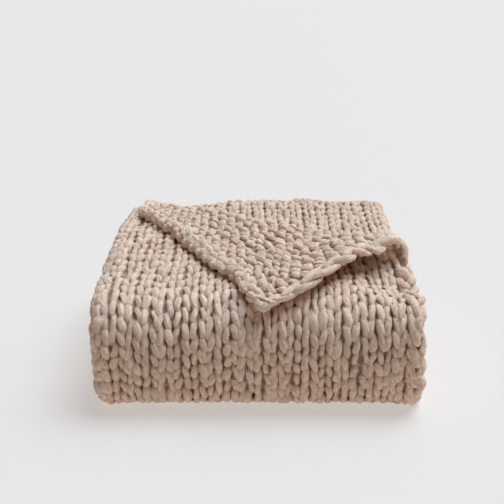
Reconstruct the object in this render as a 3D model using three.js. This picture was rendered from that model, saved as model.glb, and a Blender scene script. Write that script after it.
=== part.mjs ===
// A chunky knit throw, folded: one piece of knitting, folded in three across its width, then in half twice
// along its length, with the loose corner of the top layer turned forward.
// Millimetres. X runs across the folded throw, Y from its front to its back, Z up from the surface it lies on.
import * as THREE from 'three';

// The knitting and the space it keeps from its neighbours
const CLOTH = 12;
const GAP = 2.3;
const PITCH = CLOTH + GAP;
const EDGE_ROUND = 4;

// The folded throw: width at the front fold, and the outermost points in front and behind
const WIDTH = 430;
const FRONT = -198;
const BACK = 198;

// The fold in front, for the middle of the three layers: an upper bend, a slow bend and a lower bend
const SHOULDER_RADIUS = 42;
const HEEL_RADIUS = 27;
const BEND_TURN = 80;
const SLOW_TURN = 180 - 2 * BEND_TURN;

// How far back the two loose ends reach
const TOP_END = 190;
const INNER_END = 184;

// The turned corner: the angle of its slanting fold, how far that fold lies in from the loose end at the left
// and over what part of the width it gets there, the radius of the fold, and how far it opens at the right
const CORNER_ANGLE = 28.6;
const CORNER_INSET = 42;
const CORNER_INSET_PART = 0.15;
const CORNER_RADIUS = 7.3;
const CORNER_OPENING = 9;
const CORNER_OPENING_FROM = 0.74;

// The tip of the corner is drawn in and blunt: by how much, and how far from the tip that starts
const TIP_DRAWN_IN = 24;
const TIP_REACH = 98;

// The free edges of the turned corner are uneven: its loose end is bowed in, with one deeper notch, and its
// selvedge bulges out, each fading away over a part of the knitting beside the edge
const END_BOW = 8;
const END_NOTCH = 10;
const END_NOTCH_AT = 80;
const END_NOTCH_HALF = 30;
const SELVEDGE_BULGE = 14;
const SELVEDGE_BULGE_AT = 100;
const SELVEDGE_BULGE_HALF = 45;
const UNEVEN_DEPTH = 120;

// Unevenness of the whole stack: lower towards the front, narrower towards the back and at the very front,
// higher at the back on the right than on the left, and wavy
const FRONT_SLOPE = 0.10;
const SLOPE_FROM = 40;
const SLOPE_TO = -170;
const BACK_TAPER = 0.036;
const FRONT_TAPER = 0.02;
const RIGHT_RISE = 0.105;
const LEFT_DROP = 0.02;
const WAVE = 1.6;

const radians = (degrees) => THREE.MathUtils.degToRad(degrees);
const smooth = (value, from, to) => {
  const t = THREE.MathUtils.clamp((value - from) / (to - from), 0, 1);
  return t * t * (3 - 2 * t);
};

// A flat route made of straight stretches and bends, measured by its length.
// side is the direction that counts as the outer face of what follows the route.
class Route {
  constructor(start, headingDegrees) {
    this.stretches = [];
    this.end = { at: start, heading: radians(headingDegrees) };
    this.length = 0;
  }

  // turnDegrees is positive for a bend that keeps the outer face outside
  add(length, turnDegrees = 0) {
    const turn = radians(turnDegrees);
    const { at, heading } = this.end;
    this.stretches.push({ from: this.length, length, turn, at, heading });
    this.length += length;
    this.end = { at: Route.along(at, heading, length, turn, 1), heading: heading + turn };
    return this;
  }

  bend(radius, turnDegrees) {
    return this.add(radius * Math.abs(radians(turnDegrees)), turnDegrees);
  }

  static along(at, heading, length, turn, part) {
    if (turn === 0) {
      return [at[0] + Math.cos(heading) * length * part, at[1] + Math.sin(heading) * length * part];
    }
    const radius = length / turn;
    const after = heading + turn * part;
    return [
      at[0] + radius * (Math.sin(after) - Math.sin(heading)),
      at[1] - radius * (Math.cos(after) - Math.cos(heading)),
    ];
  }

  // The point at a length along the route, moved sideways to the outer face by offset
  point(distance, offset) {
    const inside = this.stretches.filter((s) => s.from <= distance);
    const s = inside.length ? inside[inside.length - 1] : this.stretches[0];
    const part = (distance - s.from) / s.length;
    const at = Route.along(s.at, s.heading, s.length, s.turn, part);
    const heading = s.heading + s.turn * part;
    return [at[0] + Math.sin(heading) * offset, at[1] - Math.cos(heading) * offset];
  }

  // Evenly spaced lengths over each stretch, with the number of steps given for each
  marks(steps) {
    const list = [0];
    this.stretches.forEach((s, i) => {
      for (let k = 1; k <= steps[i]; k += 1) {
        list.push(s.from + (s.length * k) / steps[i]);
      }
    });
    return list;
  }
}

// Across the throw: the outer third from its free selvedge on the right to the left fold, the innermost third
// back to the right fold, then the middle third to its selvedge just inside the left fold.
const LEFT_BEND_X = -WIDTH / 2 + CLOTH / 2 + PITCH;
const RIGHT_BEND_X = WIDTH / 2 - CLOTH / 2 - PITCH / 2 - 3;
const OUTER_START_X = WIDTH / 2 - EDGE_ROUND;
const across = new Route([OUTER_START_X, PITCH], 180)
  .add(OUTER_START_X - LEFT_BEND_X)
  .bend(PITCH, 180)
  .add(RIGHT_BEND_X - LEFT_BEND_X)
  .bend(PITCH / 2, 180)
  .add(RIGHT_BEND_X - LEFT_BEND_X - 1);
const ACROSS_STEPS = [8, 6, 6, 5, 6];

// Along the throw, for the middle of the three layers: the top, the front fold, the bottom, the back fold,
// the third group of layers, the inner fold, and the second group to the inner end.
const GROUP = 3 * PITCH;
const BOTTOM_Z = (GROUP - GAP) / 2;
const TOP_Z = BOTTOM_Z + 3 * GROUP;
const REACH = GROUP / 2 + PITCH + CLOTH / 2;
const SLOW_RADIUS =
  (TOP_Z - BOTTOM_Z - (SHOULDER_RADIUS + HEEL_RADIUS) * (1 - Math.cos(radians(BEND_TURN)))) /
  (2 * Math.cos(radians(BEND_TURN)));
const SHOULDER_Y =
  FRONT + PITCH + CLOTH / 2 + SLOW_RADIUS +
  (SHOULDER_RADIUS - SLOW_RADIUS) * Math.sin(radians(BEND_TURN));
const HEEL_Y = SHOULDER_Y + (HEEL_RADIUS - SHOULDER_RADIUS) * Math.sin(radians(BEND_TURN));
const BACK_BEND_Y = BACK - REACH;
const INNER_BEND_Y = FRONT + PITCH * 3 + REACH;
const along = new Route([TOP_END, TOP_Z], 180)
  .add(TOP_END - SHOULDER_Y)
  .bend(SHOULDER_RADIUS, BEND_TURN)
  .bend(SLOW_RADIUS, SLOW_TURN)
  .bend(HEEL_RADIUS, BEND_TURN)
  .add(BACK_BEND_Y - HEEL_Y)
  .bend(GROUP / 2, 180)
  .add(BACK_BEND_Y - INNER_BEND_Y)
  .bend(GROUP / 2, -180)
  .add(INNER_END - INNER_BEND_Y);
const ALONG_STEPS = [6, 5, 3, 4, 6, 7, 5, 7, 6];

// The corner is turned over a line that starts at the left end of the outer third, on the loose end.
const OUTER_LENGTH = across.stretches[0].length;
const CORNER_TURN = radians(CORNER_ANGLE);
const FOLD_LINE_LENGTH = OUTER_LENGTH / Math.cos(CORNER_TURN);
const FAN_ANGLES = [CORNER_ANGLE, 26.6, 23, 17, 12.5, 9.5, 7, 5, 3.6, 2.4, 1.2];

// How far in from the loose end the slanting fold lies, for a point this far across the throw
function foldLine(u) {
  const toRight = Math.max(0, (OUTER_LENGTH - u) / OUTER_LENGTH);
  return toRight * OUTER_LENGTH * Math.tan(CORNER_TURN) + CORNER_INSET * smooth(toRight, 0, CORNER_INSET_PART);
}

// Where a point of the outer third goes when the corner is turned: how far along and across the knitting,
// and how far above the layer's middle. off is the distance from the middle to the face.
function turnCorner(u, v, off) {
  const s = (foldLine(u) - v) * Math.cos(CORNER_TURN);
  if (s <= 0 || u > OUTER_LENGTH) {
    return [u, v, off];
  }
  const t = (OUTER_LENGTH - u) * Math.cos(CORNER_TURN) + v * Math.sin(CORNER_TURN);
  const radius = CORNER_RADIUS + CORNER_OPENING * smooth(t / FOLD_LINE_LENGTH, CORNER_OPENING_FROM, 1);
  const turned = s / radius;
  let beyond = (radius - off) * Math.sin(turned);
  let height = radius - (radius - off) * Math.cos(turned);
  if (turned > Math.PI) {
    beyond = Math.PI * radius - s;
    height = 2 * radius - off;
  }
  const moved = s - beyond;
  return [u + moved * Math.sin(CORNER_TURN), v + moved * Math.cos(CORNER_TURN), height];
}

// The flat knitting with its uneven edges
function unevenEdges(u, v) {
  const bow = END_BOW * Math.sin(Math.PI * THREE.MathUtils.clamp(u / OUTER_LENGTH, 0, 1));
  const notch = END_NOTCH * Math.exp(-(((u - END_NOTCH_AT) / END_NOTCH_HALF) ** 2));
  const bulge = SELVEDGE_BULGE * Math.exp(-(((v - SELVEDGE_BULGE_AT) / SELVEDGE_BULGE_HALF) ** 2));
  return [
    u - bulge * (1 - smooth(u, 0, UNEVEN_DEPTH)),
    v + (bow + notch) * (1 - smooth(v, 0, UNEVEN_DEPTH)),
  ];
}

// Where a point of the neat stack goes in the uneven one
function settle(x, y, z) {
  const lower = 1 - FRONT_SLOPE * smooth(y, SLOPE_FROM, SLOPE_TO);
  const toBack = smooth(y, 20, 190);
  const rise = 1 + toBack * ((RIGHT_RISE + LEFT_DROP) * smooth(x, -210, -40) - LEFT_DROP);
  const narrower = 1 - (BACK_TAPER * (y - FRONT)) / (BACK - FRONT) - FRONT_TAPER * smooth(y, -140, FRONT);
  const wave = WAVE * (z / TOP_Z) * (Math.sin(x / 47 + 0.6) + Math.sin(y / 61 + x / 130 + 2));
  return [x * narrower, y, z * lower * rise + wave];
}

// A point of the knitting: flatU across it from the free selvedge, flatV along it from the top end,
// off from its middle towards its right side.
function placed(flatU, flatV, off) {
  const [u, v] = unevenEdges(flatU, flatV);
  const drawn = TIP_DRAWN_IN * THREE.MathUtils.clamp(1 - (u + v) / TIP_REACH, 0, 1) ** 2;
  const [turnedU, turnedV, height] = turnCorner(u + drawn, v + drawn, off);
  const [x, w] = across.point(turnedU, height);
  const [y, z] = along.point(turnedV, w);
  return settle(x, y, z);
}

// Rows of the mesh: a fan over the turned corner, then one row for each mark along the throw.
// On the outer third the rows of the top lean, so that none crosses the slanting fold, and the columns crowd
// where that fold starts.
const OUTER_COLUMNS = [1, 0.96, 0.91, 0.86, 0.8, 0.74, 0.67, 0.57, 0.42, 0.28, 0.18, 0.12, 0.08, 0.05, 0.025];
const columns = [
  ...OUTER_COLUMNS.map((toRight) => OUTER_LENGTH * (1 - toRight)),
  ...across.marks(ACROSS_STEPS).slice(ACROSS_STEPS[0]),
];
const marks = along.marks(ALONG_STEPS);
const FAN_ROWS = FAN_ANGLES.length;
const TOP_LENGTH = marks[ALONG_STEPS[0]];
function rowPosition(u, row) {
  if (row < FAN_ROWS) {
    return (foldLine(u) * Math.tan(CORNER_TURN - radians(FAN_ANGLES[row]))) / Math.tan(CORNER_TURN);
  }
  const v = marks[row - FAN_ROWS];
  return v + foldLine(u) * Math.max(0, 1 - v / TOP_LENGTH);
}

function knitSolid() {
  const points = [];
  const faces = [];
  const rowCount = FAN_ROWS + marks.length;
  const lastColumn = columns.length - 1;
  const lastRow = rowCount - 1;
  const add = (u, v, off) => points.push(placed(u, v, off)) - 1;
  const triangle = (a, b, c) => {
    if (a !== b && b !== c && c !== a) {
      faces.push([a, b, c]);
    }
  };
  const quad = (a, b, c, d) => {
    triangle(a, b, c);
    triangle(a, c, d);
  };
  const sheet = (off) => columns.map((u) => {
    const column = [];
    for (let row = lastRow; row >= 0; row -= 1) {
      const inFan = row < FAN_ROWS && u >= OUTER_LENGTH - 1e-6;
      column[row] = inFan ? column[FAN_ROWS] : add(u, rowPosition(u, row), off);
    }
    return column;
  });
  const outer = sheet(CLOTH / 2);
  const inner = sheet(-CLOTH / 2);
  for (let i = 0; i < lastColumn; i += 1) {
    for (let j = 0; j < lastRow; j += 1) {
      quad(outer[i][j], outer[i + 1][j], outer[i + 1][j + 1], outer[i][j + 1]);
      quad(inner[i][j], inner[i][j + 1], inner[i + 1][j + 1], inner[i + 1][j]);
    }
  }

  // The rim, rounded a little, once round the knitting
  const rim = [];
  for (let i = 0; i < lastColumn; i += 1) rim.push([i, 0, 0, -1]);
  for (let j = 0; j < lastRow; j += 1) rim.push([lastColumn, j, 1, 0]);
  for (let i = lastColumn; i > 0; i -= 1) rim.push([i, lastRow, 0, 1]);
  for (let j = lastRow; j > 0; j -= 1) rim.push([0, j, -1, 0]);
  const seen = new Map();
  const ring = [];
  rim.forEach(([i, j, du, dv]) => {
    const key = outer[i][j];
    if (!seen.has(key)) {
      const u = columns[i] + du * EDGE_ROUND;
      const v = rowPosition(columns[i], j) + dv * EDGE_ROUND;
      seen.set(key, true);
      ring.push([outer[i][j], add(u, v, 0), inner[i][j]]);
    }
  });
  ring.forEach((here, k) => {
    const next = ring[(k + 1) % ring.length];
    quad(here[0], here[1], next[1], next[0]);
    quad(here[1], here[2], next[2], next[1]);
  });
  return { points, faces };
}

// The mesh as one closed shape, faces outward, resting on Z = 0 with its bounding box centred on X and Y
function closedGeometry({ points, faces }) {
  const geometry = new THREE.BufferGeometry();
  geometry.setAttribute('position', new THREE.Float32BufferAttribute(points.flat(), 3));
  let volume = 0;
  faces.forEach(([a, b, c]) => {
    const [p, q, r] = [a, b, c].map((n) => new THREE.Vector3(...points[n]));
    volume += p.dot(q.cross(r)) / 6;
  });
  const outward = volume > 0 ? faces : faces.map(([a, b, c]) => [a, c, b]);
  geometry.setIndex(outward.flat());
  geometry.computeBoundingBox();
  const middle = geometry.boundingBox.getCenter(new THREE.Vector3());
  geometry.translate(-middle.x, -middle.y, -geometry.boundingBox.min.z);
  geometry.computeVertexNormals();
  return geometry;
}

const wool = new THREE.MeshStandardMaterial({ color: 0xb7a391, roughness: 0.95, metalness: 0 });
wool.name = 'knit_wool';

const throwBlanket = new THREE.Group();
throwBlanket.name = 'folded_knit_throw';
const knitThrow = new THREE.Mesh(closedGeometry(knitSolid()), wool);
knitThrow.name = 'knit_throw';
throwBlanket.add(knitThrow);

export default throwBlanket;
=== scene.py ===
"""A chunky knit throw, folded into a stack with its loose top corner turned forward.

The throw is one piece of stockinette in thick-and-thin wool. A thin sheet carries its folds, and every
stitch that shows is a loop of yarn laid over that sheet. Metres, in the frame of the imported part.
"""
import logging
import math
from dataclasses import dataclass, field
from enum import Enum, IntEnum

import bpy
import numpy as np
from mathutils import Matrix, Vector


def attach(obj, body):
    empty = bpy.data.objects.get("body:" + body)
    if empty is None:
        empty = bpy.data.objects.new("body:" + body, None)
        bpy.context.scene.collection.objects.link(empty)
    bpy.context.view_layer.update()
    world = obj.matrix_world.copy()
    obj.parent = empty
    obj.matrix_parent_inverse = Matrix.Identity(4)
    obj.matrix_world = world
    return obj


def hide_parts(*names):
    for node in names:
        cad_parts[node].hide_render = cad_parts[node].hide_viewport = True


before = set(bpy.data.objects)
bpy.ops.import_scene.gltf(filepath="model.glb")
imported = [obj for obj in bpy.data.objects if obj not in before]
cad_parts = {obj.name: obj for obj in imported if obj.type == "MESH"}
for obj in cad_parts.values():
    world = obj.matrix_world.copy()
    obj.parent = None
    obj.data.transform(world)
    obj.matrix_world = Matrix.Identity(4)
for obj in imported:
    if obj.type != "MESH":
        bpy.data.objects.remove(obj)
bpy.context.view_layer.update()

LOG = logging.getLogger("throw")
CAD_NODE = "knit_throw"
BODY = "root"
HALF_TURN = 180.0
LAYERS_ACROSS = 3

Pair = tuple[float, float]
Triple = tuple[float, float, float]
Colour = tuple[float, float, float, float]


def smooth(value: np.ndarray, start: float, end: float) -> np.ndarray:
    """Eases from 0 at start to 1 at end.

    Args:
        value: where to read the ease.
        start: the value that gives 0.
        end: the value that gives 1.

    Returns:
        The eased share, from 0 to 1.
    """
    part = np.clip((value - start) / (end - start), 0.0, 1.0)
    return part * part * (3.0 - 2.0 * part)


def near_ends(q: np.ndarray, reach: float) -> np.ndarray:
    """How near to either end of a length of yarn its points lie.

    Args:
        q: places along the yarn, from 0 to 1.
        reach: the part of its length over which this fades.

    Returns:
        1 at each end, and nearly 0 between them.
    """
    return np.exp(-(np.minimum(q, 1 - q) / reach) ** 2)


def add_object(name: str, data: bpy.types.ID) -> bpy.types.Object:
    """Adds an object to the scene.

    Args:
        name: its name.
        data: its mesh, its light or its camera.

    Returns:
        The object.
    """
    thing = bpy.data.objects.new(name, data)
    bpy.context.scene.collection.objects.link(thing)
    return thing


@dataclass(frozen=True)
class Stretch:
    """A straight or evenly bent part of a route, in a flat section of the stack."""

    start: float
    length: float
    turn: float
    x: float
    y: float
    heading: float

    def point(self, distance: np.ndarray, offset: np.ndarray) -> tuple[np.ndarray, np.ndarray]:
        """Places points along this stretch.

        Args:
            distance: lengths along the whole route.
            offset: distances to the outer side of the route.

        Returns:
            The two coordinates of the points in the section.
        """
        part = (distance - self.start) / self.length
        heading = self.heading + self.turn * part
        if self.turn == 0.0:
            x = self.x + math.cos(self.heading) * self.length * part
            y = self.y + math.sin(self.heading) * self.length * part
        else:
            radius = self.length / self.turn
            x = self.x + radius * (np.sin(heading) - math.sin(self.heading))
            y = self.y - radius * (np.cos(heading) - math.cos(self.heading))
        return x + np.sin(heading) * offset, y - np.cos(heading) * offset


class Route:
    """A flat route made of stretches, measured by its length."""

    def __init__(self, x: float, y: float, heading_degrees: float) -> None:
        """Starts the route.

        Args:
            x: first coordinate of the start.
            y: second coordinate of the start.
            heading_degrees: the way it sets off.
        """
        self.stretches: list[Stretch] = []
        self.length = 0.0
        self.at = (x, y)
        self.heading = math.radians(heading_degrees)

    def add(self, length: float, turn_degrees: float = 0.0) -> "Route":
        """Adds a stretch that turns evenly, positive with the outer side outside.

        Args:
            length: its length.
            turn_degrees: how far it turns in all.

        Returns:
            The route itself.
        """
        turn = math.radians(turn_degrees)
        stretch = Stretch(self.length, length, turn, self.at[0], self.at[1], self.heading)
        self.stretches.append(stretch)
        self.length += length
        self.heading += turn
        x, y = stretch.point(np.array([self.length]), np.array([0.0]))
        self.at = (float(x[0]), float(y[0]))
        return self

    def bend(self, radius: float, turn_degrees: float) -> "Route":
        """Adds a bend of a radius. Returns the route itself."""
        return self.add(radius * abs(math.radians(turn_degrees)), turn_degrees)

    def end_of(self, index: int) -> float:
        """The length at which a stretch ends."""
        return self.stretches[index].start + self.stretches[index].length

    def point(self, distance: np.ndarray, offset: np.ndarray) -> tuple[np.ndarray, np.ndarray]:
        """Places points along the route.

        Args:
            distance: lengths along it, which may run a little past either end.
            offset: distances to its outer side.

        Returns:
            The two coordinates of the points.
        """
        starts = [s.start for s in self.stretches[1:]]
        which = np.searchsorted(starts, distance, side="right")
        x = np.zeros(distance.shape)
        y = np.zeros(distance.shape)
        for index, stretch in enumerate(self.stretches):
            here = which == index
            x[here], y[here] = stretch.point(distance[here], offset[here])
        return x, y

    def outer_lengths(self, off: float) -> tuple[np.ndarray, np.ndarray]:
        """Measures the route on its outer side, and 1 m past each end.

        Args:
            off: how far out it is measured.

        Returns:
            Lengths along the outer side, and the lengths along the route they belong to.
        """
        middle = [0.0]
        outer = [0.0]
        for stretch in self.stretches:
            middle.append(stretch.start + stretch.length)
            outer.append(outer[-1] + stretch.length + max(0.0, stretch.turn) * off)
        along_outer = np.array([-1.0] + outer + [outer[-1] + 1.0])
        along_middle = np.array([-1.0] + middle + [middle[-1] + 1.0])
        return along_outer, along_middle

    def marks(self, step: float) -> np.ndarray:
        """Lengths along the route, evenly spaced in each stretch.

        Args:
            step: how far apart they may be.

        Returns:
            The lengths, from the start of the route to its end.
        """
        found = [0.0]
        for stretch in self.stretches:
            count = max(2, math.ceil(stretch.length / step))
            found += [stretch.start + stretch.length * k / count for k in range(1, count + 1)]
        return np.array(found)


class Across(IntEnum):
    """The stretches across the throw, from its free selvedge."""

    OUTER_THIRD = 0
    LEFT_FOLD = 1
    MIDDLE_THIRD = 2
    RIGHT_FOLD = 3


class Along(IntEnum):
    """The stretches along the throw, from its top end."""

    TOP = 0
    HEEL = 3
    BOTTOM = 4
    BACK_FOLD = 5


@dataclass(frozen=True)
class Mound:
    """A soft change of height, seen from above as a bell round one place."""

    x: float
    y: float
    half_x: float
    half_y: float
    height: float

    def share(self, x: np.ndarray, y: np.ndarray) -> np.ndarray:
        """The part of its height that each point gets."""
        return np.exp(-((x - self.x) / self.half_x) ** 2 - ((y - self.y) / self.half_y) ** 2)


@dataclass
class FoldedThrow:
    """How the flat throw is folded: where each of its points lies in the stack."""

    # The cloth and the neat stack.
    cloth: float = 0.012
    gap: float = 0.0023
    groups_above: int = 3
    edge_round: float = 0.004
    rim_inset: float = 0.0066
    width: float = 0.430
    front: float = -0.198
    back: float = 0.198
    right_fold_in: float = 0.003
    inner_edge_in: float = 0.001
    shoulder_radius: float = 0.042
    heel_radius: float = 0.027
    bend_turn: float = 80.0
    top_end: float = 0.190
    inner_end: float = 0.184
    # The corner that is turned forward.
    corner_angle: float = 28.6
    corner_inset: float = 0.042
    corner_inset_part: float = 0.15
    corner_radius: float = 0.0073
    corner_opening: float = 0.0125
    corner_opening_from: float = 0.74
    tip_drawn_in: float = 0.024
    tip_reach: float = 0.098
    turned_selvedge: float = 0.255
    hollow: Mound = Mound(0.155, -0.085, 0.050, 0.050, 0.0105)
    # The uneven edges of that corner.
    end_bow: float = 0.008
    end_notch: float = 0.010
    end_notch_at: float = 0.080
    end_notch_half: float = 0.030
    selvedge_bulge: float = 0.014
    selvedge_bulge_at: float = 0.100
    selvedge_bulge_half: float = 0.045
    uneven_depth: float = 0.120
    # How the stack has settled.
    front_slope: float = 0.10
    front_slope_span: Pair = (0.040, -0.170)
    back_taper: float = 0.036
    front_taper: float = 0.02
    front_taper_from: float = -0.140
    right_rise: float = 0.105
    left_drop: float = 0.02
    sideways_span: Pair = (-0.210, -0.040)
    back_span: Pair = (0.020, 0.190)
    wave: float = 0.0016
    wave_across: Pair = (0.047, 0.6)
    wave_along: Triple = (0.061, 0.130, 2.0)
    dips: tuple[Mound, ...] = (
        Mound(-0.195, 0.180, 0.035, 0.070, 0.0055),
        Mound(0.190, -0.105, 0.052, 0.050, 0.0150),
        Mound(0.165, -0.070, 0.036, 0.036, 0.0090),
    )
    floor_softness: float = 0.0016
    shift: Pair = (0.00004, 0.00033)
    # Worked out from the sizes above.
    across: Route = field(init=False)
    along: Route = field(init=False)
    top_z: float = field(init=False)
    outer_length: float = field(init=False)
    corner_turn: float = field(init=False)

    def __post_init__(self) -> None:
        """Works out the two routes from the sizes."""
        pitch = self.cloth + self.gap
        half = self.cloth / 2
        left = -self.width / 2 + half + pitch
        right = self.width / 2 - half - pitch / 2 - self.right_fold_in
        edge = self.width / 2 - self.edge_round
        self.across = (
            Route(edge, pitch, HALF_TURN).add(edge - left)
            .bend(pitch, HALF_TURN).add(right - left)
            .bend(pitch / 2, HALF_TURN).add(right - left - self.inner_edge_in)
        )
        group = LAYERS_ACROSS * pitch
        bottom = (group - self.gap) / 2
        self.top_z = bottom + self.groups_above * group
        reach = group / 2 + pitch + half
        lean = math.radians(self.bend_turn)
        bends = self.shoulder_radius + self.heel_radius
        slow = (self.top_z - bottom - bends * (1 - math.cos(lean))) / (2 * math.cos(lean))
        shoulder = self.front + pitch + half + slow + (self.shoulder_radius - slow) * math.sin(lean)
        heel = shoulder + (self.heel_radius - self.shoulder_radius) * math.sin(lean)
        inner = self.front + pitch * LAYERS_ACROSS + reach
        self.along = (
            Route(self.top_end, self.top_z, HALF_TURN).add(self.top_end - shoulder)
            .bend(self.shoulder_radius, self.bend_turn)
            .bend(slow, HALF_TURN - 2 * self.bend_turn)
            .bend(self.heel_radius, self.bend_turn)
            .add(self.back - reach - heel).bend(group / 2, HALF_TURN)
            .add(self.back - reach - inner).bend(group / 2, -HALF_TURN)
            .add(self.inner_end - inner)
        )
        self.outer_length = self.across.stretches[Across.OUTER_THIRD].length
        self.corner_turn = math.radians(self.corner_angle)

    def fold_line(self, u: np.ndarray) -> np.ndarray:
        """How far in from the loose end the slanting fold lies.

        Args:
            u: distances across the throw, from its free selvedge.

        Returns:
            The distance along the throw at which each of them meets the fold.
        """
        to_right = np.maximum(0.0, (self.outer_length - u) / self.outer_length)
        inset = self.corner_inset * smooth(to_right, 0.0, self.corner_inset_part)
        return to_right * self.outer_length * math.tan(self.corner_turn) + inset

    def from_middle(self, u: np.ndarray, v: np.ndarray, off: np.ndarray) -> np.ndarray:
        """How far points lie from the knitting's middle, which ends a little inside its edges.

        Args:
            u: distances across the throw, from its free selvedge.
            v: distances along it, from its top end.
            off: distances from its middle, to its right side.

        Returns:
            The shortest distance of each point.
        """
        inside = np.minimum(np.minimum(u, v), self.along.length - v)
        return np.hypot(np.minimum(inside - self.rim_inset, 0.0), off)

    def turn_corner(
        self, u: np.ndarray, v: np.ndarray, off: np.ndarray
    ) -> tuple[np.ndarray, np.ndarray, np.ndarray]:
        """Turns the loose corner of the outer third over its slanting fold.

        Args:
            u: distances across the throw, from its free selvedge.
            v: distances along it, from its top end.
            off: distances from its middle, to its right side.

        Returns:
            The same three after the corner is turned.
        """
        lean = self.corner_turn
        over = np.where(u > self.outer_length, 0.0, (self.fold_line(u) - v) * math.cos(lean))
        over = np.maximum(over, 0.0)
        beside = (self.outer_length - u) * math.cos(lean) + v * math.sin(lean)
        share = beside * math.cos(lean) / self.outer_length
        opened = smooth(share, self.corner_opening_from, 1.0)
        radius = self.corner_radius + self.corner_opening * opened
        turned = np.minimum(over / radius, math.pi)
        past = np.maximum(over - math.pi * radius, 0.0)
        beyond = (radius - off) * np.sin(turned) - past
        height = radius - (radius - off) * np.cos(turned)
        moved = np.where(over > 0.0, over - beyond, 0.0)
        height = np.where(over > 0.0, height, off)
        return u + moved * math.sin(lean), v + moved * math.cos(lean), height

    def uneven_edges(self, u: np.ndarray, v: np.ndarray) -> tuple[np.ndarray, np.ndarray]:
        """Pulls in the loose end of the turned corner and bulges its selvedge.

        Args:
            u: distances across the throw, from its free selvedge.
            v: distances along it, from its top end.

        Returns:
            The same two after that.
        """
        bow = self.end_bow * np.sin(math.pi * np.clip(u / self.outer_length, 0.0, 1.0))
        notch = self.end_notch * np.exp(-((u - self.end_notch_at) / self.end_notch_half) ** 2)
        bulge = np.exp(-((v - self.selvedge_bulge_at) / self.selvedge_bulge_half) ** 2)
        pulled = (bow + notch) * (1 - smooth(v, 0.0, self.uneven_depth))
        bulged = self.selvedge_bulge * bulge * (1 - smooth(u, 0.0, self.uneven_depth))
        return u - bulged, v + pulled

    def settle(self, x: np.ndarray, y: np.ndarray, z: np.ndarray) -> np.ndarray:
        """Moves points of the neat stack to where the settled one has them.

        Args:
            x: their distances to the right.
            y: their distances to the back.
            z: their heights.

        Returns:
            One row of x, y and z for each point.
        """
        lower = 1 - self.front_slope * smooth(y, *self.front_slope_span)
        to_right = (self.right_rise + self.left_drop) * smooth(x, *self.sideways_span) - self.left_drop
        rise = 1 + smooth(y, *self.back_span) * to_right
        narrower = 1 - self.back_taper * (y - self.front) / (self.back - self.front)
        narrower -= self.front_taper * smooth(y, self.front_taper_from, self.front)
        length, start = self.wave_across
        waves = np.sin(x / length + start)
        length, slanting, start = self.wave_along
        waves = waves + np.sin(y / length + x / slanting + start)
        level = z / self.top_z
        height = z * lower * rise + level * self.wave * waves
        for dip in self.dips:
            height -= level * dip.height * dip.share(x, y)
        height = (height + np.sqrt(height ** 2 + self.floor_softness ** 2)) / 2
        return np.stack([x * narrower + self.shift[0], y + self.shift[1], height], axis=-1)

    def place(self, u: np.ndarray, v: np.ndarray, off: np.ndarray) -> np.ndarray:
        """Places points of the flat throw in the folded one.

        Args:
            u: distances across the throw, from its free selvedge.
            v: distances along it, from its top end.
            off: distances from its middle, to its right side.

        Returns:
            One row of x, y and z for each point.
        """
        u, v = self.uneven_edges(u, v)
        drawn = self.tip_drawn_in * np.clip(1 - (u + v) / self.tip_reach, 0.0, 1.0) ** 2
        turned_u, turned_v, height = self.turn_corner(u + drawn, v + drawn, off)
        x, w = self.across.point(turned_u, height)
        y, z = self.along.point(turned_v, w)
        placed = self.settle(x, y, z)
        near = self.hollow.share(placed[..., 0], placed[..., 1])
        turned_over = smooth(height, self.corner_radius, 3 * self.corner_radius)
        placed[..., 2] += self.hollow.height * near * turned_over
        return placed


@dataclass(frozen=True)
class Noise:
    """The settings of one noise in a finish."""

    scale: float
    detail: float
    rough: float


class Wire:
    """An output socket of a node, which takes part in arithmetic with numbers and other wires."""

    def __init__(self, nodes: "Nodes", source: bpy.types.NodeSocket) -> None:
        """Wraps a socket."""
        self.nodes = nodes
        self.source = source

    def _math(self, operation: str, first: object, second: object) -> "Wire":
        """Adds one Math node. Returns its output."""
        return self.nodes.add("ShaderNodeMath", {"operation": operation}, {0: first, 1: second})

    def __add__(self, other: object) -> "Wire":
        """Sum."""
        return self._math("ADD", self, other)

    __radd__ = __add__

    def __mul__(self, other: object) -> "Wire":
        """Product."""
        return self._math("MULTIPLY", self, other)

    __rmul__ = __mul__

    def __sub__(self, other: object) -> "Wire":
        """Difference."""
        return self._math("SUBTRACT", self, other)

    def __rsub__(self, other: object) -> "Wire":
        """Difference from a number."""
        return self._math("SUBTRACT", other, self)


class MixSocket(IntEnum):
    """The sockets of a Mix node that is set to colours."""

    SHARE = 0
    FIRST = 6
    SECOND = 7
    RESULT = 2


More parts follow.
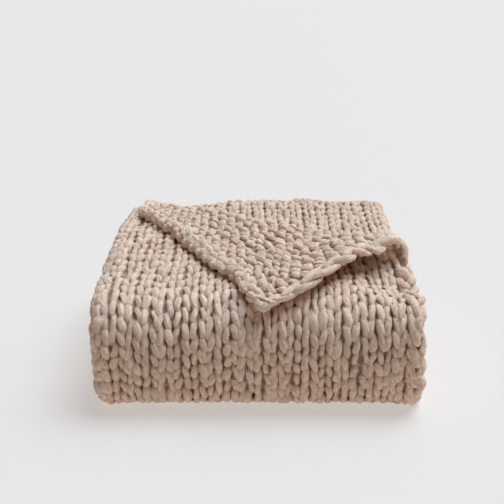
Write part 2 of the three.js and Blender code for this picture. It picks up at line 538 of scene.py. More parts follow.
class Nodes:
    """The node tree of one material."""

    def __init__(self, name: str) -> None:
        """Makes an empty material.

        Args:
            name: its name.
        """
        self.material = bpy.data.materials.new(name)
        self.material.use_nodes = True
        self.tree = self.material.node_tree
        self.tree.nodes.clear()

    def add(
        self, kind: str, settings: dict[str, object], inputs: dict[object, object], output: object = 0
    ) -> Wire:
        """Adds a node.

        Args:
            kind: the node's type.
            settings: its settings, set first.
            inputs: values or wires for its sockets, by name or number.
            output: which output to give back.

        Returns:
            That output.
        """
        node = self.tree.nodes.new(kind)
        for name, value in settings.items():
            setattr(node, name, value)
        for name, value in inputs.items():
            if isinstance(value, Wire):
                self.tree.links.new(value.source, node.inputs[name])
            else:
                node.inputs[name].default_value = value
        return Wire(self, node.outputs[output])

    def mix(self, share: object, first: object, second: object, blend: str = "MIX") -> Wire:
        """Mixes two colours.

        Args:
            share: how much of the second colour there is.
            first: the first colour.
            second: the second colour.
            blend: the way they are mixed.

        Returns:
            The mixed colour.
        """
        settings = {"data_type": "RGBA", "blend_type": blend}
        inputs = {MixSocket.SHARE: share, MixSocket.FIRST: first, MixSocket.SECOND: second}
        return self.add("ShaderNodeMix", settings, inputs, MixSocket.RESULT)

    def noise(self, where: Wire, noise: Noise) -> Wire:
        """Adds a noise from 0 to 1.

        Args:
            where: the place that it is read at.
            noise: its settings.

        Returns:
            Its value.
        """
        inputs = {
            "Vector": where, "Scale": noise.scale, "Detail": noise.detail, "Roughness": noise.rough,
        }
        return self.add("ShaderNodeTexNoise", {"noise_dimensions": "3D"}, inputs)

    def stretched(self, where: Wire, scale: Triple) -> Wire:
        """A place with its three parts scaled. Returns the scaled place."""
        return self.add("ShaderNodeMapping", {}, {"Vector": where, "Scale": scale})

    def on_object(self) -> Wire:
        """The place on the object."""
        return self.add("ShaderNodeTexCoord", {}, {}, "Object")

    def attribute(self, name: str, output: str) -> Wire:
        """Reads a named attribute of the mesh. Returns the wanted output."""
        return self.add("ShaderNodeAttribute", {"attribute_name": name}, {}, output)

    def clamped(self, value: Wire) -> Wire:
        """Keeps a value from 0 to 1."""
        return self.add("ShaderNodeClamp", {}, {0: value})

    def grey(self, value: Wire) -> Wire:
        """A grey of that brightness."""
        return self.add("ShaderNodeCombineColor", {}, {0: value, 1: value, 2: value})

    def bump(self, strength: float, distance: float, height: Wire) -> Wire:
        """Adds a bump.

        Args:
            strength: how strong it is, from 0 to 1.
            distance: how far it rises where the height is 1.
            height: the heights.

        Returns:
            The normal.
        """
        inputs = {"Strength": strength, "Distance": distance, "Height": height}
        return self.add("ShaderNodeBump", {}, inputs)

    def principled(self, inputs: dict[object, object]) -> bpy.types.Material:
        """Adds the shader and joins it to the material's output.

        Args:
            inputs: values or wires for the shader's sockets.

        Returns:
            The finished material.
        """
        shader = self.add("ShaderNodeBsdfPrincipled", {}, inputs)
        node = self.tree.nodes.new("ShaderNodeOutputMaterial")
        self.tree.links.new(shader.source, node.inputs["Surface"])
        return self.material


def linear(red: int, green: int, blue: int) -> Colour:
    """A colour as the shader wants it.

    Args:
        red: its red, on the usual scale from 0 to 255.
        green: its green.
        blue: its blue.

    Returns:
        The same colour on the linear scale from 0 to 1.
    """
    parts = [c / 255 for c in (red, green, blue)]
    made = [c / 12.92 if c <= 0.04045 else ((c + 0.055) / 1.055) ** 2.4 for c in parts]
    return (made[0], made[1], made[2], 1.0)


@dataclass(frozen=True)
class WoolYarn:
    """Thick-and-thin heathered wool: warm beige with greyer and pinker lengths, and fine fibres,
    turning to a painted shade of dark brown where the yarn lies deep in the knitting.
    """

    name: str = "wool_yarn"
    warm: Colour = linear(243, 210, 186)
    grey: Colour = linear(230, 202, 177)
    pink: Colour = linear(241, 201, 177)
    # Painted shade: the dark brown that the yarn is darkened towards where it lies deep between the
    # stitches.
    painted_shade: Colour = linear(133, 80, 60)
    # The noises, and how the first two are drawn out along the yarn.
    fibres: Noise = Noise(1.0, 3.0, 0.65)
    fibre_scale: Triple = (120.0, 800.0, 800.0)
    plies: Noise = Noise(1.0, 2.0, 0.5)
    ply_scale: Triple = (45.0, 260.0, 260.0)
    heather: Noise = Noise(230.0, 3.0, 0.6)
    patches: Noise = Noise(14.0, 2.0, 0.5)
    patch_from: float = 0.40
    patch_gain: float = 1.7
    noise_middle: float = 0.5
    # How much each noise counts in the streaks of colour and in the bumps.
    fibre_streaks: float = 0.5
    ply_streaks: float = 0.7
    heather_streaks: float = 0.8
    fibre_bumps: float = 0.5
    heather_bumps: float = 0.5
    bump_strength: float = 0.7
    fibre_depth: float = 0.0035
    roughness: float = 0.92
    sheen: float = 0.25
    sheen_roughness: float = 0.5
    specular: float = 0.2

    def material(self) -> bpy.types.Material:
        """Builds the wool from how far along the yarn and how far round it a point lies, and paints
        shade on it by the depth attribute.
        """
        n = Nodes(self.name)
        strand = n.attribute("strand", "Vector")
        tone = n.attribute("tone", "Fac")
        # The depth attribute is the painted shade mask, 1 where the yarn lies deep in the knitting.
        depth = n.attribute("depth", "Fac")
        place = n.on_object()
        fibres = n.noise(n.stretched(strand, self.fibre_scale), self.fibres)
        plies = n.noise(n.stretched(strand, self.ply_scale), self.plies)
        heather = n.noise(place, self.heather)
        patches = n.noise(place, self.patches)
        pinker = n.clamped((patches - self.patch_from) * self.patch_gain)
        streak = (
            (fibres - self.noise_middle) * self.fibre_streaks
            + (plies - self.noise_middle) * self.ply_streaks
            + (heather - self.noise_middle) * self.heather_streaks
            + 1.0
        )
        colour = n.mix(tone, self.warm, self.grey)
        colour = n.mix(pinker, colour, self.pink)
        colour = n.mix(1.0, colour, n.grey(streak), "MULTIPLY")
        # Painted shade: darkens the yarn towards the dark brown by the depth mask.
        colour = n.mix(depth, colour, self.painted_shade)
        height = fibres * self.fibre_bumps + plies + heather * self.heather_bumps
        return n.principled({
            "Base Color": colour,
            "Roughness": self.roughness,
            "Normal": n.bump(self.bump_strength, self.fibre_depth, height),
            "Sheen Weight": self.sheen,
            "Sheen Roughness": self.sheen_roughness,
            "Specular IOR Level": self.specular,
        })


@dataclass(frozen=True)
class PaintedShadeWool:
    """The wool between the stitches, darker than the yarn: painted shade where little light comes."""

    name: str = "wool_painted_shade_between_stitches"
    # Both tones are painted shade, mixed at random by the fuzz.
    light: Colour = linear(184, 152, 128)
    dark: Colour = linear(142, 110, 88)
    fuzz: Noise = Noise(260.0, 4.0, 0.6)
    bump_strength: float = 0.6
    fuzz_depth: float = 0.0012
    roughness: float = 0.95
    specular: float = 0.1

    def material(self) -> bpy.types.Material:
        """Builds the wool of painted shade."""
        n = Nodes(self.name)
        fuzz = n.noise(n.on_object(), self.fuzz)
        return n.principled({
            "Base Color": n.mix(fuzz, self.dark, self.light),
            "Roughness": self.roughness,
            "Normal": n.bump(self.bump_strength, self.fuzz_depth, fuzz),
            "Specular IOR Level": self.specular,
        })


@dataclass(frozen=True)
class PaleFloor:
    """The plain pale floor, with a little light of its own that softens the shadow on it."""

    name: str = "pale_floor"
    colour: Colour = (0.352, 0.317, 0.297, 1.0)
    roughness: float = 0.75
    specular: float = 0.2
    glow: Colour = (1.0, 0.97, 0.94, 1.0)
    glow_strength: float = 0.458

    def material(self) -> bpy.types.Material:
        """Builds the floor's finish."""
        return Nodes(self.name).principled({
            "Base Color": self.colour,
            "Roughness": self.roughness,
            "Specular IOR Level": self.specular,
            "Emission Color": self.glow,
            "Emission Strength": self.glow_strength,
        })


@dataclass(frozen=True)
class Detail:
    """How finely a yarn is meshed: steps in one stitch and sides round it."""

    steps: int
    sides: int


class Fineness(Enum):
    """Where a yarn lies decides how finely it is meshed."""

    SHOWN = Detail(16, 8)
    OUTLYING = Detail(12, 6)


@dataclass(frozen=True)
class StripMap:
    """The bake's map: each length of yarn is a strip of it, with the yarn's two caps at one end."""

    name: str = "OFBake"
    strip: Pair = (0.05, 0.90)
    start: float = 0.005
    length: float = 0.98
    cap_start: float = 0.990
    cap_step: float = 0.007
    cap_half: float = 0.003
    cap_share: float = 0.3

    def unroll(
        self, mesh: bpy.types.Mesh, strips: list[tuple[int, int]], caps: list[np.ndarray]
    ) -> None:
        """Writes the map.

        Args:
            mesh: the mesh, with the sides of all strips before the caps.
            strips: how many rings each length of yarn has, and how many sides.
            caps: the points of each cap.
        """
        layer = mesh.uv_layers.new(name=self.name)
        total = len(strips)
        longest = max(rows for rows, _ in strips)
        found = []
        for number, (rows, sides) in enumerate(strips):
            low = (number + self.strip[0]) / total
            high = (number + self.strip[1]) / total
            along = self.start + self.length * np.arange(rows) / (longest - 1)
            around = low + (high - low) * np.arange(sides + 1) / sides
            grid = np.empty((rows - 1, sides, 4, 2))
            grid[:, :, 0, 0] = grid[:, :, 3, 0] = along[:-1, None]
            grid[:, :, 1, 0] = grid[:, :, 2, 0] = along[1:, None]
            grid[:, :, 0, 1] = grid[:, :, 1, 1] = around[None, :-1]
            grid[:, :, 2, 1] = grid[:, :, 3, 1] = around[None, 1:]
            found.append(grid.reshape(-1, 2))
        for number, cap in enumerate(caps):
            yarn, second = divmod(number, 2)
            spot = np.array([[self.cap_start + self.cap_step * second, (yarn + 0.5) / total]])
            turn = np.arange(len(cap)) * 2 * math.pi / len(cap)
            wide = np.cos(turn) * self.cap_half
            tall = np.sin(turn) * self.cap_share / total
            found.append(spot + np.stack([wide, tall], axis=1))
        layer.uv.foreach_set("vector", np.concatenate(found).astype(np.float32).ravel())


@dataclass
class Yarns:
    """Collects lengths of yarn and makes one mesh of them."""

    throw: FoldedThrow
    seed: int
    lumps: float = 0.08
    twist: float = 55.0
    starts_within: float = 50.0
    # How far from the knitting's middle the painted shade reaches, on the right side and on the wrong
    # side.
    painted_shade_reach_right: float = 0.0066
    painted_shade_reach_wrong: float = 0.0040

    def __post_init__(self) -> None:
        """Starts with no yarn."""
        self.random = np.random.RandomState(self.seed)
        self.points: list[np.ndarray] = []
        self.quads: list[np.ndarray] = []
        self.caps: list[np.ndarray] = []
        self.strand: list[np.ndarray] = []
        self.tone: list[np.ndarray] = []
        self.strips: list[tuple[int, int]] = []
        self.count = 0

    def add(
        self, centre: np.ndarray, radius: np.ndarray, flat: float, tone: np.ndarray, sides: int
    ) -> None:
        """Adds one length of yarn, given in the coordinates of the flat throw.

        Args:
            centre: rows of u, v and off along the middle of the yarn.
            radius: its radius at each row.
            flat: its height over its width.
            tone: its shade at each row, 0 warm to 1 grey.
            sides: how many sides it has.
        """
        rows = len(centre)
        way = np.gradient(centre, axis=0)
        way /= np.linalg.norm(way, axis=1, keepdims=True)
        up = np.array([0.0, 0.0, 1.0])[None, :] - way * way[:, 2:3]
        up /= np.linalg.norm(up, axis=1, keepdims=True)
        side = np.cross(up, way)
        turn = np.arange(sides) * 2 * math.pi / sides
        lumpy = radius[:, None] * (1 + self.random.normal(0.0, self.lumps, (rows, sides)))
        wide = (np.cos(turn)[None, :] * lumpy)[:, :, None] * side[:, None, :]
        high = (np.sin(turn)[None, :] * lumpy * flat)[:, :, None] * up[:, None, :]
        ring = centre[:, None, :] + wide + high
        steps = np.linalg.norm(np.diff(centre, axis=0), axis=1)
        run = np.concatenate([[0.0], np.cumsum(steps)])
        run = run + self.random.uniform(0, self.starts_within)
        twisted = turn[None, :] + run[:, None] * self.twist
        strand = [
            np.repeat(run, sides),
            (np.cos(twisted) * radius[:, None]).ravel(),
            (np.sin(twisted) * radius[:, None]).ravel(),
        ]
        index = self.count + np.arange(rows * sides).reshape(rows, sides)
        after = np.roll(index, -1, axis=1)
        quads = np.stack([index[:-1], index[1:], after[1:], after[:-1]], axis=-1).reshape(-1, 4)
        self.points.append(ring.reshape(-1, 3))
        self.quads.append(quads)
        self.caps += [index[0], index[-1][::-1]]
        self.strips.append((rows, sides))
        self.strand.append(np.stack(strand, axis=1))
        self.tone.append(np.repeat(tone, sides))
        self.count += rows * sides

    def mesh(self, name: str) -> bpy.types.Object:
        """Makes the object of all the yarn added so far.

        Args:
            name: the object's name.

        Returns:
            The new object, in the scene.
        """
        u, v, off = np.concatenate(self.points).T
        placed = self.throw.place(u, v, off)
        faces = np.concatenate(self.quads).tolist() + [cap.tolist() for cap in self.caps]
        mesh = bpy.data.meshes.new(name)
        mesh.from_pydata(placed.tolist(), [], faces)
        # Painted shade mask: 1 at the knitting's middle, fading to 0 within that reach, written as the
        # depth attribute.
        reach = np.where(off > 0.0, self.painted_shade_reach_right, self.painted_shade_reach_wrong)
        painted_shade = np.clip(1.0 - self.throw.from_middle(u, v, off) / reach, 0.0, 1.0)
        self._write(mesh, "strand", "FLOAT_VECTOR", "vector", np.concatenate(self.strand))
        self._write(mesh, "tone", "FLOAT", "value", np.concatenate(self.tone))
        self._write(mesh, "depth", "FLOAT", "value", painted_shade)
        StripMap().unroll(mesh, self.strips, self.caps)
        mesh.polygons.foreach_set("use_smooth", np.ones(len(mesh.polygons), dtype=bool))
        mesh.update()
        return add_object(name, mesh)

    @staticmethod
    def _write(mesh: bpy.types.Mesh, name: str, kind: str, part: str, values: np.ndarray) -> None:
        """Writes one attribute on the mesh's points."""
        layer = mesh.attributes.new(name, kind, "POINT")
        layer.data.foreach_set(part, values.astype(np.float32).ravel())


class Drift(IntEnum):
    """The two ways in which the wales drift."""

    SIDEWAYS = 0
    LENGTHWAYS = 1


@dataclass
class Knitting:
    """The stitches of the throw that show, as loops of yarn."""

    throw: FoldedThrow
    seed: int = 21
    wales: int = 63
    rows: int = 88
    end_inset: float = 0.0065
    end_reach: float = 0.0085
    selvedge_trim: float = 0.35
    measured_at: float = 0.0060
    # The loop of one stitch.
    spread: float = 1.08
    close: float = 0.015
    rise: float = 0.765
    depth: float = 0.0036
    to_right_side: float = 0.30
    crossing: float = 1.4
    tilt: float = 0.0008
    # Its yarn.
    yarn_radius: float = 0.0049
    flat: float = 0.88
    pinch: float = 0.06
    swell: float = 0.16
    tone_middle: float = 0.45
    tone_swing: float = 5.0
    # How uneven the stitches are.
    uneven: float = 0.16
    slowly_uneven: float = 0.08
    spread_varies: float = 0.16
    wander: float = 0.0013
    wander_out: float = 0.4
    # How the wales drift, and the courses near the top end where they drift less.
    sideways_drift: float = 0.0017
    lengthways_drift: float = 0.0118
    drift_rows: int = 12
    drift_limit: float = 1.5
    firm_rows: float = 3.0
    calm_span: Pair = (11.0, 22.0)
    calm: float = 0.35
    # How far stitches are knitted past where they show, in stitches or metres.
    past_bend: float = 1.0
    past_right_fold: float = 1.2
    past_edge: float = 1.6
    past_corner_fold: float = 0.020

    def __post_init__(self) -> None:
        """Works out the sizes of a stitch and how the wales drift."""
        self.outer_u = self.throw.across.outer_lengths(self.measured_at)
        self.outer_v = self.throw.along.outer_lengths(self.measured_at)
        self.wale = self.outer_u[0][-2] / self.wales
        self.row = (self.outer_v[0][-2] - 2 * self.end_inset) / self.rows
        random = np.random.RandomState(self.seed)
        shape = (len(Drift), self.rows // self.drift_rows + 3, self.wales + 1)
        self.drifts = np.clip(random.normal(0.0, 1.0, shape), -self.drift_limit, self.drift_limit)

    def row_at(self, v: float) -> int:
        """The course nearest to a length along the throw."""
        outer = np.interp(v, self.outer_v[1], self.outer_v[0])
        return round((float(outer) - self.end_inset) / self.row)

    def drift(self, which: Drift, q: np.ndarray, number: int) -> np.ndarray:
        """How far the wales have drifted in one course.

        Args:
            which: the way in which they drift.
            q: places across, counted in stitches.
            number: the course.

        Returns:
            The drift at each place, about 1 in size.
        """
        at = np.clip(number / self.drift_rows, 0.0, self.rows / self.drift_rows)
        low = int(at)
        rows = self.drifts[which]
        here = rows[low] * (1 - (at - low)) + rows[low + 1] * (at - low)
        to_end = min(number, self.rows - 1 - number) / self.firm_rows
        near_end = float(np.clip(to_end, 0.0, 1.0))
        settled = self.calm + (1 - self.calm) * float(smooth(number, *self.calm_span))
        return np.interp(q, np.arange(self.wales + 1), here) * near_end * settled

    def shown(self, u: np.ndarray, v: float) -> np.ndarray:
        """Which stitches of one course can be seen from outside the stack.

        Args:
            u: how far across the throw the stitches lie.
            v: how far along it they lie.

        Returns:
            True for each that shows.
        """
        across, along = self.throw.across, self.throw.along
        bend = self.past_bend * self.wale
        edge = self.past_edge * self.row
        left_start = across.end_of(Across.OUTER_THIRD) - bend
        left_end = across.end_of(Across.LEFT_FOLD) + bend
        right_start = across.end_of(Across.MIDDLE_THIRD) - bend
        right_end = across.end_of(Across.RIGHT_FOLD)
        outer = (u < across.end_of(Across.OUTER_THIRD)) & (v < along.end_of(Along.BACK_FOLD))
        left = (u > left_start) & (u < left_end)
        right = (u > right_start) & (u < right_end + self.past_right_fold * self.wale)
        selvedge = u < self.past_edge * self.wale
        ends = np.full(u.shape, v < edge or v > along.length - edge)
        middle, _ = across.point(u, np.zeros(u.shape))
        above = across.stretches[Across.OUTER_THIRD].x - middle
        bared = (u > right_end) & (v < self.throw.fold_line(above) + self.past_corner_fold)
        return outer | left | right | selvedge | ends | bared

    def course(self, yarns: Yarns, number: int, first: int, last: int, detail: Detail) -> None:
        """Knits part of one course.

        Args:
            yarns: what the yarn is added to.
            number: the course, counted from the top end.
            first: its first stitch.
            last: its last stitch.
            detail: how finely it is meshed.
        """
        random = yarns.random
        start = first + self.selvedge_trim if first == 0 else float(first)
        q = np.linspace(start, last + 1.0, int(detail.steps * (last + 1 - start)) + 1)
        turn = 2 * math.pi * (q - 0.5)
        # One knot of unevenness for each quarter of a stitch, and one slow one for each two stitches.
        knots = np.arange(first * 4 - 2, (last + 1) * 4 + 3) / 4
        thick = np.exp(random.normal(0.0, self.uneven, len(knots)))
        slow = random.normal(0.0, self.slowly_uneven, (last - first) // 2 + 4)
        slow_at = first - 1 + 2 * np.arange(len(slow))
        lean, lift, push, open_up = random.normal(0.0, 1.0, (4, len(knots)))
        thickness = np.interp(q, knots, thick) * (1 + np.interp(q, slow_at, slow))
        spread = self.spread * (1 + self.spread_varies * np.interp(q, knots, open_up))
        u = self.wale * (q + spread * np.sin(2 * turn) / (2 * math.pi) - self.close * np.sin(turn))
        u = u + self.wander * np.interp(q, knots, lean)
        u = u + self.sideways_drift * self.drift(Drift.SIDEWAYS, q, number)
        head = self.end_inset + self.row * (number + 0.5 - self.rise)
        foot = self.end_inset + self.row * (number + 0.5 + self.rise)
        if number < 0:
            head = foot - self.end_reach
        if number >= self.rows:
            foot = head + self.end_reach
        v = (head + foot) / 2 - (foot - head) / 2 * np.cos(turn)
        v = v + self.wander * np.interp(q, knots, lift)
        v = v + self.lengthways_drift * self.drift(Drift.LENGTHWAYS, q, number)
        u = np.interp(u, *self.outer_u)
        v = np.interp(v, *self.outer_v)
        over = np.clip(self.to_right_side - self.crossing * np.cos(2 * turn), -1.0, 1.0)
        off = self.depth * over - self.tilt * np.cos(turn)
        off = off + self.wander_out * self.wander * np.interp(q, knots, push)
        shape = 1 + self.pinch * np.cos(4 * turn) + self.swell * np.maximum(np.cos(2 * turn), 0.0)
        radius = self.yarn_radius * shape * thickness
        shade = np.clip(self.tone_middle + self.tone_swing * slow, 0.0, 1.0)
        tone = np.interp(q, slow_at, shade)
        yarns.add(np.stack([u, v, off], axis=1), radius, self.flat, tone, detail.sides)

    def knit(
        self, name: str, seed: int, first_row: int, last_row: int, fine: Fineness
    ) -> bpy.types.Object:
        """Knits the shown stitches of some courses.

        Args:
            name: the piece's name.
            seed: for the unevenness of the yarn.
            first_row: its first course.
            last_row: the course after its last.
            fine: how finely the yarn is meshed.

        Returns:
            The piece.
        """
        yarns = Yarns(self.throw, seed)
        u = np.interp((np.arange(self.wales) + 0.5) * self.wale, *self.outer_u)
        for number in range(first_row, last_row):
            v = float(np.interp(self.end_inset + (number + 0.5) * self.row, *self.outer_v))
            seen = self.shown(u, v)
            edges = np.flatnonzero(np.diff(np.concatenate([[False], seen, [False]]).astype(int)))
            for first, after in zip(edges[::2], edges[1::2]):
                self.course(yarns, number, int(first), int(after) - 1, fine.value)
        return yarns.mesh(name)


class Edge(Enum):
    """The edges of the throw that have chains or bumps worked along them."""

    SELVEDGE = "selvedge"
    TOP_END = "top_end"
    INNER_END = "inner_end"


class Way(Enum):
    """Which way the links of a chain point along the selvedge."""

    FROM_TOP = "from_top"
    TO_TOP = "to_top"


@dataclass(frozen=True)
class Chain:
    """A chain of links along part of an edge, each link with two leaf-shaped legs."""

    edge: Edge
    way: Way
    first: float
    last: float
    pitch: float
    radius: float
    half_width: float
    to_side: float
    overlap: float


@dataclass(frozen=True)
class Bumps:
    """Staggered rows of bumps along an end, each a short length of yarn lying along it."""

    edge: Edge
    pitch: float = 0.0195
    radius: float = 0.0060
    steps: int = 11
    rows: Pair = (0.0005, -0.0080)
    reach: float = 0.80
    lift: float = 0.0024
    dive: float = 0.0075
    tuck: float = 0.16
    slim: float = 0.78
    swell: float = 0.26
    slant: float = 0.0040


@dataclass(frozen=True)
class Curl:
    """The end of the yarn, curled into a small lump on the wrong side of the loose corner."""

    u: float = 0.0100
    v: float = 0.0040
    off: float = -0.0090
    steps: int = 25
    start: float = 0.2
    turns: float = 1.3
    radius: float = 0.0135
    winds_in: float = 0.72
    sinks: float = 0.0030
    ends_in: float = 0.0050
    yarn_radius: float = 0.0068
    slims: float = 0.25
    tone: float = 0.3


@dataclass
class WorkedEdges:
    """The chains and bumps along the edges of the knitting."""

    throw: FoldedThrow
    rim: float = 0.0036
    flat: float = 0.92
    uneven: float = 0.12
    uneven_knots: int = 5
    wander: float = 0.0010
    tone_middle: float = 0.45
    tone_varies: float = 0.3
    # One leg of a chain link, from its base to its tip.
    leg_steps: int = 14
    tuck: float = 0.07
    waist: float = -0.10
    base_height: float = 0.0042
    tip_height: float = 0.0002
    dive: float = 0.0050
    slim: float = 0.45
    leaf_lean: float = 0.75
    leaf_fullness: float = 0.8
    curl: Curl = Curl()

    def wrapped(self, round_it: np.ndarray, height: np.ndarray) -> tuple[np.ndarray, np.ndarray]:
        """Takes points round the rounded edge of the knitting.

        Args:
            round_it: lengths round the edge, 0 at its outermost and positive to the right side.
            height: heights over its surface.

        Returns:
            Distances in from the edge, and from the middle of the knitting.
        """
        turn = np.clip(round_it / self.rim, -math.pi / 2, math.pi / 2)
        reach = self.rim + height
        past = np.maximum(np.abs(round_it) - self.rim * math.pi / 2, 0.0)
        return self.throw.rim_inset - reach * np.cos(turn) + past, reach * np.sin(turn)

    def lay(
        self, yarns: Yarns, edge: Edge, run: np.ndarray, round_it: np.ndarray, height: np.ndarray,
        radius: np.ndarray,
    ) -> None:
        """Lays one short length of yarn on an edge.

        Args:
            yarns: what the yarn is added to.
            edge: the edge.
            run: lengths along it.
            round_it: lengths round it.
            height: heights over its surface.
            radius: the yarn's radius.
        """
        random = yarns.random
        knots = np.linspace(0.0, 1.0, self.uneven_knots)
        q = np.linspace(0.0, 1.0, len(run))
        thick = np.exp(random.normal(0.0, self.uneven, self.uneven_knots))
        radius = radius * np.interp(q, knots, thick)
        shade = np.clip(self.tone_middle + random.normal(0.0, self.tone_varies), 0.0, 1.0)
        inside, off = self.wrapped(round_it + random.normal(0.0, self.wander), height)
        run = run + random.normal(0.0, self.wander)
        if edge is Edge.SELVEDGE:
            centre = np.stack([inside, run, off], axis=1)
        elif edge is Edge.TOP_END:
            centre = np.stack([run, inside, off], axis=1)
        else:
            centre = np.stack([run, self.throw.along.length - inside, off], axis=1)
        tone = np.full(len(q), shade)
        yarns.add(centre, radius, self.flat, tone, Fineness.SHOWN.value.sides)

    def work_chain(self, yarns: Yarns, chain: Chain) -> None:
        """Works one chain. The base of each link lies on the tip of the one before.

        Args:
            yarns: what the yarn is added to.
            chain: the chain.
        """
        count = round((chain.last - chain.first) / chain.pitch)
        length = (chain.last - chain.first) / count
        q = np.linspace(0.0, 1.0, self.leg_steps)
        share = (1 + chain.overlap) * q
        height = self.base_height + (self.tip_height - self.base_height) * q
        height = height - self.dive * near_ends(q, self.tuck)
        leaf = np.sin(math.pi * q ** self.leaf_lean) ** self.leaf_fullness
        radius = chain.radius * (self.slim + (1 - self.slim) * leaf)
        aside = chain.half_width * (self.waist + (1 - self.waist) * np.sin(0.5 * math.pi * q))
        for number in range(2 * count):
            side = 1 if number % 2 else -1
            start = number / 2 - chain.overlap / 2
            run = start + share if chain.way is Way.FROM_TOP else count - start - share
            round_it = chain.to_side + side * aside
            self.lay(yarns, chain.edge, chain.first + length * run, round_it, height, radius)

    def work_bumps(self, yarns: Yarns, bumps: Bumps) -> None:
        """Works the rows of bumps of one end.

        Args:
            yarns: what the yarn is added to.
            bumps: the rows.
        """
        whole = self.throw.across.length
        count = round(whole / bumps.pitch)
        length = whole / count
        q = np.linspace(0.0, 1.0, bumps.steps)
        height = bumps.lift - bumps.dive * near_ends(q, bumps.tuck)
        radius = bumps.radius * (bumps.slim + bumps.swell * np.sin(math.pi * q))
        for row, round_it in enumerate(bumps.rows):
            for number in range(count - row % 2):
                middle = length * (number + 0.5 + 0.5 * (row % 2))
                run = middle + bumps.reach * length * (q - 0.5)
                slant = bumps.slant * yarns.random.normal() * (q - 0.5)
                self.lay(yarns, bumps.edge, run, round_it + slant, height, radius)

    def work_curl(self, yarns: Yarns) -> None:
        """Curls up the end of the yarn at the loose corner.

        Args:
            yarns: what the yarn is added to.
        """
        curl = self.curl
        q = np.linspace(0.0, 1.0, curl.steps)
        turn = 2 * math.pi * (curl.start + curl.turns * q)
        away = curl.radius * (1 - curl.winds_in * q)
        ends = near_ends(q, self.tuck)
        u = curl.u + away * np.cos(turn)
        v = curl.v + away * np.sin(turn)
        off = curl.off - curl.sinks * q + curl.ends_in * ends
        radius = curl.yarn_radius * (1 - curl.slims * ends)
        tone = np.full(len(q), curl.tone)
        centre = np.stack([u, v, off], axis=1)
        yarns.add(centre, radius, self.flat, tone, Fineness.SHOWN.value.sides)

    def work(self, name: str, seed: int, chains: list[Chain], rows: list[Bumps]) -> bpy.types.Object:
        """Works the edges.

        Args:
            name: the piece's name.
            seed: for the unevenness of the yarn.
            chains: the chains to work.
            rows: the rows of bumps to work.

        Returns:
            The piece.
        """
        yarns = Yarns(self.throw, seed)
        for chain in chains:
            self.work_chain(yarns, chain)
        for bumps in rows:
            self.work_bumps(yarns, bumps)
        self.work_curl(yarns)
        return yarns.mesh(name)


@dataclass
class GroundSheet:
    """The thin sheet that carries the folds, under the stitches."""

    throw: FoldedThrow
    thickness: float = 0.0046
    column_step: float = 0.022
    row_step: float = 0.020
    inset: float = 0.0045
    first_column: float = 0.010
    crowded: tuple[float, ...] = (0.008, 0.018, 0.03, 0.045)
    fan: tuple[float, ...] = (
        0.0, 0.06, 0.13, 0.22, 0.32, 0.44, 0.55, 0.65, 0.74, 0.82, 0.88, 0.92, 0.95, 0.975,
    )
    merged_within: float = 0.00001

    def build(self, name: str) -> bpy.types.Object:
        """Builds the folded sheet as one closed mesh.

        Args:
            name: the piece's name.

        Returns:
            The piece.
        """
        u, v = self._grid()
        half = self.thickness / 2
        upper = self.throw.place(u.ravel(), v.ravel(), np.full(u.size, half))
        lower = self.throw.place(u.ravel(), v.ravel(), np.full(u.size, -half))
        mesh = bpy.data.meshes.new(name)
        mesh.from_pydata(np.concatenate([upper, lower]).tolist(), [], self._faces(*u.shape))
        mesh.update()
        thing = add_object(name, mesh)
        self._clean(thing)
        return thing

    def _grid(self) -> tuple[np.ndarray, np.ndarray]:
        """The sheet's points on the flat throw, crowded at the folds. Returns u and v."""
        throw = self.throw
        crowded = throw.outer_length * (1 - np.array(self.crowded))
        columns = throw.across.marks(self.column_step)
        columns = np.unique(np.concatenate([columns, crowded, [self.first_column]]))
        marks = throw.along.marks(self.row_step)
        top = throw.along.end_of(Along.TOP)
        line = throw.fold_line(columns)
        fan = np.array(self.fan)[None, :] * line[:, None]
        below = marks[None, :] + line[:, None] * np.maximum(0.0, 1 - marks[None, :] / top)
        v = np.concatenate([fan, below], axis=1)
        v = np.clip(v, self.inset, throw.along.length - self.inset)
        columns = np.clip(columns, self.inset, throw.across.length - self.inset)
        return np.repeat(columns[:, None], v.shape[1], axis=1), v

    @staticmethod
    def _faces(wide: int, tall: int) -> list[list[int]]:
        """The faces of the two sides and of the wall round them.

        Args:
            wide: how many columns of points each side has.
            tall: how many points each column has.

        Returns:
            The points of each face.
        """
        index = np.arange(wide * tall).reshape(wide, tall)
        one = np.stack([index[:-1, :-1], index[1:, :-1], index[1:, 1:], index[:-1, 1:]], axis=-1)
        one = one.reshape(-1, 4)
        loop = np.concatenate(
            [index[:-1, 0], index[-1, :-1], index[:0:-1, -1], index[0, :0:-1]]
        )
        after = np.roll(loop, -1)
        wall = np.stack([loop, after, after + index.size, loop + index.size], axis=1)
        return one[:, ::-1].tolist() + (one + index.size).tolist() + wall.tolist()

    def _clean(self, thing: bpy.types.Object) -> None:
        """Merges the fan's shared points, turns the faces outward and smooths them.

        Args:
            thing: the sheet's object.
        """
        bpy.context.view_layer.objects.active = thing
        thing.select_set(True)
        bpy.ops.object.mode_set(mode="EDIT")
        bpy.ops.mesh.select_all(action="SELECT")
        bpy.ops.mesh.remove_doubles(threshold=self.merged_within)
        bpy.ops.mesh.normals_make_consistent(inside=False)
        bpy.ops.object.mode_set(mode="OBJECT")
        bpy.ops.object.shade_smooth()
        thing.select_set(False)


@dataclass(frozen=True)
class Sun:
    """A far, soft light: where it shines from, and how wide it is in the sky, in degrees."""

    name: str
    toward: Triple
    spread: float
    power: float
    colour: Triple

    def shine(self) -> None:
        """Adds the light to the scene."""
        data = bpy.data.lights.new(self.name, "SUN")
        data.energy = self.power
        data.angle = math.radians(self.spread)
        data.color = self.colour
        thing = add_object(self.name, data)
        thing.rotation_euler = Vector(self.toward).to_track_quat("Z", "Y").to_euler()


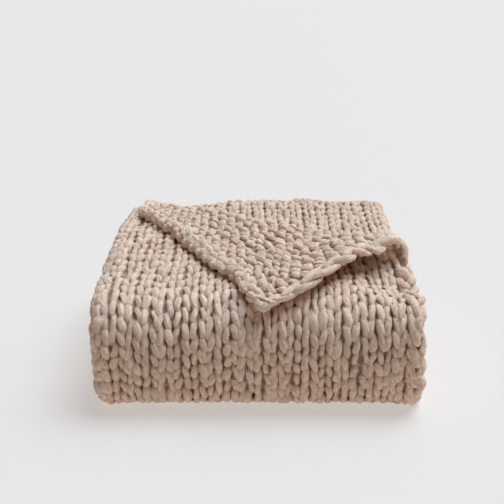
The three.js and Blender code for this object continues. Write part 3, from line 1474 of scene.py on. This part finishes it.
@dataclass
class Studio:
    """The floor, the soft lights and the camera."""

    pitch: float = 20.5
    distance: float = 1.221
    lens: float = 60.45
    sensor: float = 36.0
    aim: Triple = (-0.0079, 0.0, 0.1513)
    floor_size: float = 80.0
    sky: float = 0.145
    sky_colour: Colour = (1.0, 0.85, 0.76, 1.0)
    key: Sun = Sun("key", (0.34, 0.18, 1.0), 38.0, 2.2932, (0.77, 1.0, 1.21))
    side: Sun = Sun("side", (0.55, 0.55, 1.0), 60.0, 1.248, (1.0, 0.99, 0.97))

    def place_camera(self) -> None:
        """Sets the camera at the photograph's angle."""
        data = bpy.data.cameras.new("camera")
        data.lens = self.lens
        data.sensor_width = self.sensor
        thing = add_object("camera", data)
        lean = math.radians(self.pitch)
        back = Vector((0.0, -math.cos(lean), math.sin(lean))) * self.distance
        thing.location = Vector(self.aim) + back
        thing.rotation_euler = (math.radians(90 - self.pitch), 0.0, 0.0)
        bpy.context.scene.camera = thing

    def lay_floor(self) -> None:
        """Lays a plain pale floor."""
        bpy.ops.mesh.primitive_plane_add(size=self.floor_size, location=(0.0, 0.0, 0.0))
        floor = bpy.context.object
        floor.name = "floor"
        floor.data.materials.append(PaleFloor().material())

    def light(self) -> None:
        """Lights the scene with a pale sky and two soft suns."""
        world = bpy.data.worlds.new("studio")
        world.use_nodes = True
        background = world.node_tree.nodes["Background"]
        background.inputs["Color"].default_value = self.sky_colour
        background.inputs["Strength"].default_value = self.sky
        bpy.context.scene.world = world
        bpy.context.scene.view_settings.view_transform = "Standard"
        self.key.shine()
        self.side.shine()

    def set_up(self) -> None:
        """Builds the studio."""
        self.lay_floor()
        self.light()
        self.place_camera()


def main() -> None:
    """Builds the throw, piece by piece, and its studio."""
    logging.basicConfig(level=logging.INFO, format="%(message)s")
    bpy.ops.object.select_all(action="DESELECT")
    Studio().set_up()
    bpy.ops.object.select_all(action="DESELECT")
    throw = FoldedThrow()
    ground = GroundSheet(throw).build("ground_sheet")
    knitting = Knitting(throw)
    top, front, under = (
        knitting.row_at(throw.along.end_of(stretch))
        for stretch in (Along.TOP, Along.HEEL, Along.BOTTOM)
    )
    stitches = [
        knitting.knit("stitches_top_back", 11, -1, top // 2, Fineness.SHOWN),
        knitting.knit("stitches_top_front", 12, top // 2, top, Fineness.SHOWN),
        knitting.knit("stitches_front", 13, top, front, Fineness.SHOWN),
        knitting.knit("stitches_under", 14, front, under, Fineness.OUTLYING),
        knitting.knit("stitches_inner", 15, under, knitting.rows + 1, Fineness.OUTLYING),
    ]
    turned = throw.turned_selvedge
    chains = [
        Chain(
            Edge.SELVEDGE, Way.FROM_TOP, first=0.006, last=turned, pitch=0.0270,
            radius=0.0062, half_width=0.0066, to_side=-0.0064, overlap=0.30,
        ),
        Chain(
            Edge.SELVEDGE, Way.TO_TOP, first=turned, last=throw.along.length, pitch=0.0290,
            radius=0.0064, half_width=0.0080, to_side=0.0064, overlap=0.25,
        ),
    ]
    rows = [Bumps(Edge.TOP_END), Bumps(Edge.INNER_END)]
    chain = WorkedEdges(throw).work("edge_chains", 16, chains, rows)
    wool = WoolYarn().material()
    for piece in stitches + [chain]:
        piece.data.materials.append(wool)
    # The ground sheet wears the darker wool, painted shade in the gaps between the stitches.
    ground.data.materials.append(PaintedShadeWool().material())
    for piece in [ground] + stitches + [chain]:
        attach(piece, BODY)
        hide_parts(CAD_NODE)
        triangles = sum(len(p.vertices) - 2 for p in piece.data.polygons)
        LOG.info("%s: %d triangles", piece.name, triangles)


if __name__ == "__main__":
    main()
